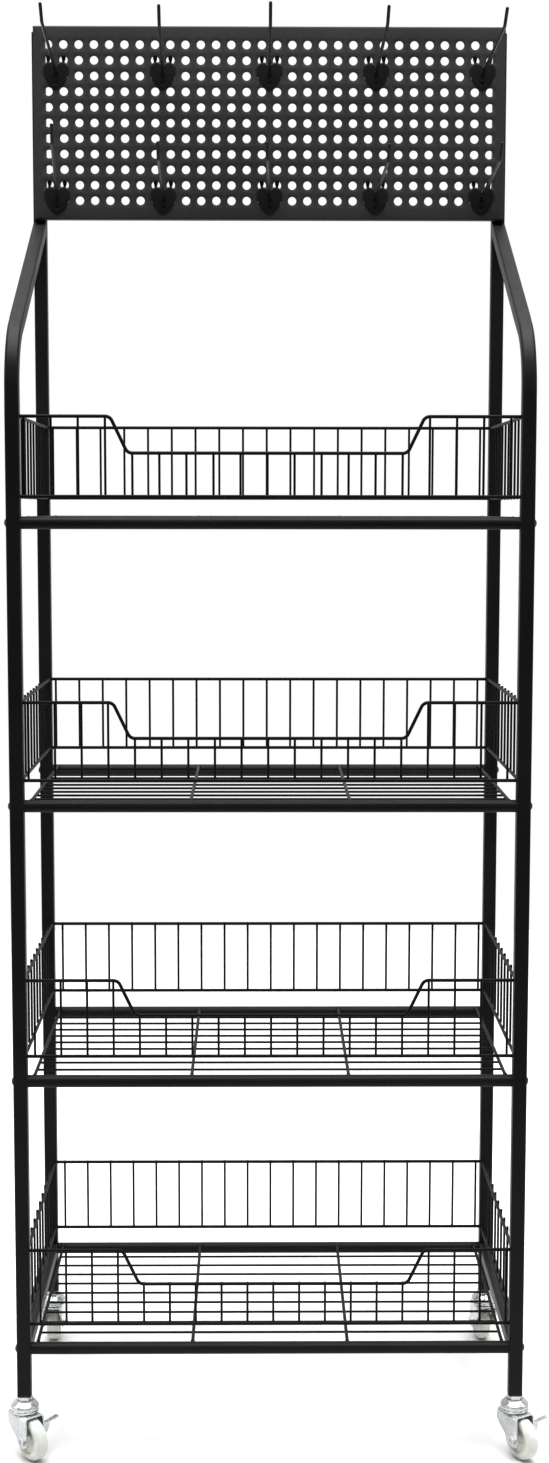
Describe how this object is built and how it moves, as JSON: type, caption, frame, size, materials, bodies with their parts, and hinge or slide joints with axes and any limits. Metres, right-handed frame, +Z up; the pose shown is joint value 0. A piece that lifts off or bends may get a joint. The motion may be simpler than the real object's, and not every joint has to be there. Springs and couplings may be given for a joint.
{
  "type": "pegboard display stand",
  "caption": "Rolling retail stand with two bent square-tube side frames, wire shelves with wire guards, a perforated header panel with peg hooks, and swivel casters.",
  "frame": {"origin": "On the floor, midway between the four posts", "axes": "+X to the right as seen from the front, +Y to the rear (the panel side), +Z up"},
  "size_m": [0.6726, 0.4213, 1.8],
  "materials": {
    "frame_powder_coat": "satin black powder coat",
    "wire_powder_coat": "satin black powder coat",
    "panel_powder_coat": "matte dark grey-black powder coat",
    "hook_gloss_coat": "gloss black coating",
    "black_fasteners": "black oxide",
    "black_plastic": "moulded black plastic",
    "zinc_steel": "bright zinc plating",
    "white_nylon": "off-white moulded nylon"
  },
  "bodies": {
    "frame": {"front_post_left": "frame_powder_coat", "front_post_right": "frame_powder_coat", "rear_post_left": "frame_powder_coat", "rear_post_right": "frame_powder_coat", "side_rail_left": "frame_powder_coat", "side_rail_right": "frame_powder_coat", "rear_post_caps": "black_plastic", "shelf_1_tubes": "frame_powder_coat", "shelf_2_tubes": "frame_powder_coat", "shelf_3_tubes": "frame_powder_coat", "shelf_4_tubes": "frame_powder_coat", "shelf_1_deck": "wire_powder_coat", "shelf_2_deck": "wire_powder_coat", "shelf_3_deck": "wire_powder_coat", "shelf_4_deck": "wire_powder_coat", "front_guard_1": "wire_powder_coat", "front_guard_2": "wire_powder_coat", "front_guard_3": "wire_powder_coat", "front_guard_4": "wire_powder_coat", "rear_guard_1": "wire_powder_coat", "rear_guard_2": "wire_powder_coat", "rear_guard_3": "wire_powder_coat", "rear_guard_4": "wire_powder_coat", "side_guards_1": "wire_powder_coat", "side_guards_2": "wire_powder_coat", "side_guards_3": "wire_powder_coat", "side_guards_4": "wire_powder_coat", "tube_inserts": "zinc_steel", "shelf_bolts": "black_fasteners", "pegboard": "panel_powder_coat", "pegboard_screws": "black_fasteners", "stem_sockets": "black_plastic", "caster_stems": "zinc_steel", "caster_cups": "zinc_steel", "caster_nuts": "zinc_steel", "swivel_balls": "zinc_steel"},
    "swivel_front_left": {"fork_front_left": "zinc_steel", "axle_front_left": "zinc_steel"},
    "roller_front_left": {"wheel_front_left": "white_nylon"},
    "swivel_front_right": {"fork_front_right": "zinc_steel", "axle_front_right": "zinc_steel"},
    "roller_front_right": {"wheel_front_right": "white_nylon"},
    "swivel_rear_left": {"fork_rear_left": "zinc_steel", "axle_rear_left": "zinc_steel"},
    "roller_rear_left": {"wheel_rear_left": "white_nylon"},
    "swivel_rear_right": {"fork_rear_right": "zinc_steel", "axle_rear_right": "zinc_steel"},
    "roller_rear_right": {"wheel_rear_right": "white_nylon"},
    "pedal_front_left": {"brake_lever_left": "zinc_steel"},
    "pedal_front_right": {"brake_lever_right": "zinc_steel"},
    "peg_hook_upper_1": {"hook_upper_1": "hook_gloss_coat"},
    "peg_hook_upper_2": {"hook_upper_2": "hook_gloss_coat"},
    "peg_hook_upper_3": {"hook_upper_3": "hook_gloss_coat"},
    "peg_hook_upper_4": {"hook_upper_4": "hook_gloss_coat"},
    "peg_hook_upper_5": {"hook_upper_5": "hook_gloss_coat"},
    "peg_hook_lower_1": {"hook_lower_1": "hook_gloss_coat"},
    "peg_hook_lower_2": {"hook_lower_2": "hook_gloss_coat"},
    "peg_hook_lower_3": {"hook_lower_3": "hook_gloss_coat"},
    "peg_hook_lower_4": {"hook_lower_4": "hook_gloss_coat"},
    "peg_hook_lower_5": {"hook_lower_5": "hook_gloss_coat"}
  },
  "joints": [
    {"name": "swivel_turn_front_left", "type": "hinge", "parent": "frame", "child": "swivel_front_left", "pos_m": [-0.3045, -0.1715, 0.06], "axis": [0, 0, 1], "continuous": true},
    {"name": "wheel_spin_front_left", "type": "hinge", "parent": "swivel_front_left", "child": "roller_front_left", "pos_m": [-0.29486, -0.18299, 0.026], "axis": [0.766, 0.6428, 0], "continuous": true},
    {"name": "swivel_turn_front_right", "type": "hinge", "parent": "frame", "child": "swivel_front_right", "pos_m": [0.3045, -0.1715, 0.06], "axis": [0, 0, 1], "continuous": true},
    {"name": "wheel_spin_front_right", "type": "hinge", "parent": "swivel_front_right", "child": "roller_front_right", "pos_m": [0.31223, -0.18436, 0.026], "axis": [0.8572, 0.515, 0], "continuous": true},
    {"name": "swivel_turn_rear_left", "type": "hinge", "parent": "frame", "child": "swivel_rear_left", "pos_m": [-0.3045, 0.1715, 0.06], "axis": [0, 0, 1], "continuous": true},
    {"name": "wheel_spin_rear_left", "type": "hinge", "parent": "swivel_rear_left", "child": "roller_rear_left", "pos_m": [-0.3045, 0.1865, 0.026], "axis": [-1, 0, 0], "continuous": true},
    {"name": "swivel_turn_rear_right", "type": "hinge", "parent": "frame", "child": "swivel_rear_right", "pos_m": [0.3045, 0.1715, 0.06], "axis": [0, 0, 1], "continuous": true},
    {"name": "wheel_spin_rear_right", "type": "hinge", "parent": "swivel_rear_right", "child": "roller_rear_right", "pos_m": [0.3019, 0.18627, 0.026], "axis": [-0.9848, -0.1736, 0], "continuous": true},
    {"name": "brake_press_front_left", "type": "hinge", "parent": "swivel_front_left", "child": "pedal_front_left", "pos_m": [-0.28425, -0.16887, 0.042], "axis": [-0.6428, 0.766, 0], "range_deg": [0, 9]},
    {"name": "brake_press_front_right", "type": "hinge", "parent": "swivel_front_right", "child": "pedal_front_right", "pos_m": [0.32491, -0.17207, 0.042], "axis": [-0.515, 0.8572, 0], "range_deg": [0, 9]},
    {"name": "tilt_hook_upper_1", "type": "hinge", "parent": "frame", "child": "peg_hook_upper_1", "pos_m": [-0.28, 0.1516, 1.756], "axis": [-1, 0, 0], "range_deg": [0, 30]},
    {"name": "tilt_hook_upper_2", "type": "hinge", "parent": "frame", "child": "peg_hook_upper_2", "pos_m": [-0.14, 0.1516, 1.756], "axis": [-1, 0, 0], "range_deg": [0, 30]},
    {"name": "tilt_hook_upper_3", "type": "hinge", "parent": "frame", "child": "peg_hook_upper_3", "pos_m": [0, 0.1516, 1.756], "axis": [-1, 0, 0], "range_deg": [0, 30]},
    {"name": "tilt_hook_upper_4", "type": "hinge", "parent": "frame", "child": "peg_hook_upper_4", "pos_m": [0.14, 0.1516, 1.756], "axis": [-1, 0, 0], "range_deg": [0, 30]},
    {"name": "tilt_hook_upper_5", "type": "hinge", "parent": "frame", "child": "peg_hook_upper_5", "pos_m": [0.28, 0.1516, 1.756], "axis": [-1, 0, 0], "range_deg": [0, 30]},
    {"name": "tilt_hook_lower_1", "type": "hinge", "parent": "frame", "child": "peg_hook_lower_1", "pos_m": [-0.28, 0.1516, 1.596], "axis": [-1, 0, 0], "range_deg": [0, 30]},
    {"name": "tilt_hook_lower_2", "type": "hinge", "parent": "frame", "child": "peg_hook_lower_2", "pos_m": [-0.14, 0.1516, 1.596], "axis": [-1, 0, 0], "range_deg": [0, 30]},
    {"name": "tilt_hook_lower_3", "type": "hinge", "parent": "frame", "child": "peg_hook_lower_3", "pos_m": [0, 0.1516, 1.596], "axis": [-1, 0, 0], "range_deg": [0, 30]},
    {"name": "tilt_hook_lower_4", "type": "hinge", "parent": "frame", "child": "peg_hook_lower_4", "pos_m": [0.14, 0.1516, 1.596], "axis": [-1, 0, 0], "range_deg": [0, 30]},
    {"name": "tilt_hook_lower_5", "type": "hinge", "parent": "frame", "child": "peg_hook_lower_5", "pos_m": [0.28, 0.1516, 1.596], "axis": [-1, 0, 0], "range_deg": [0, 30]}
  ]
}
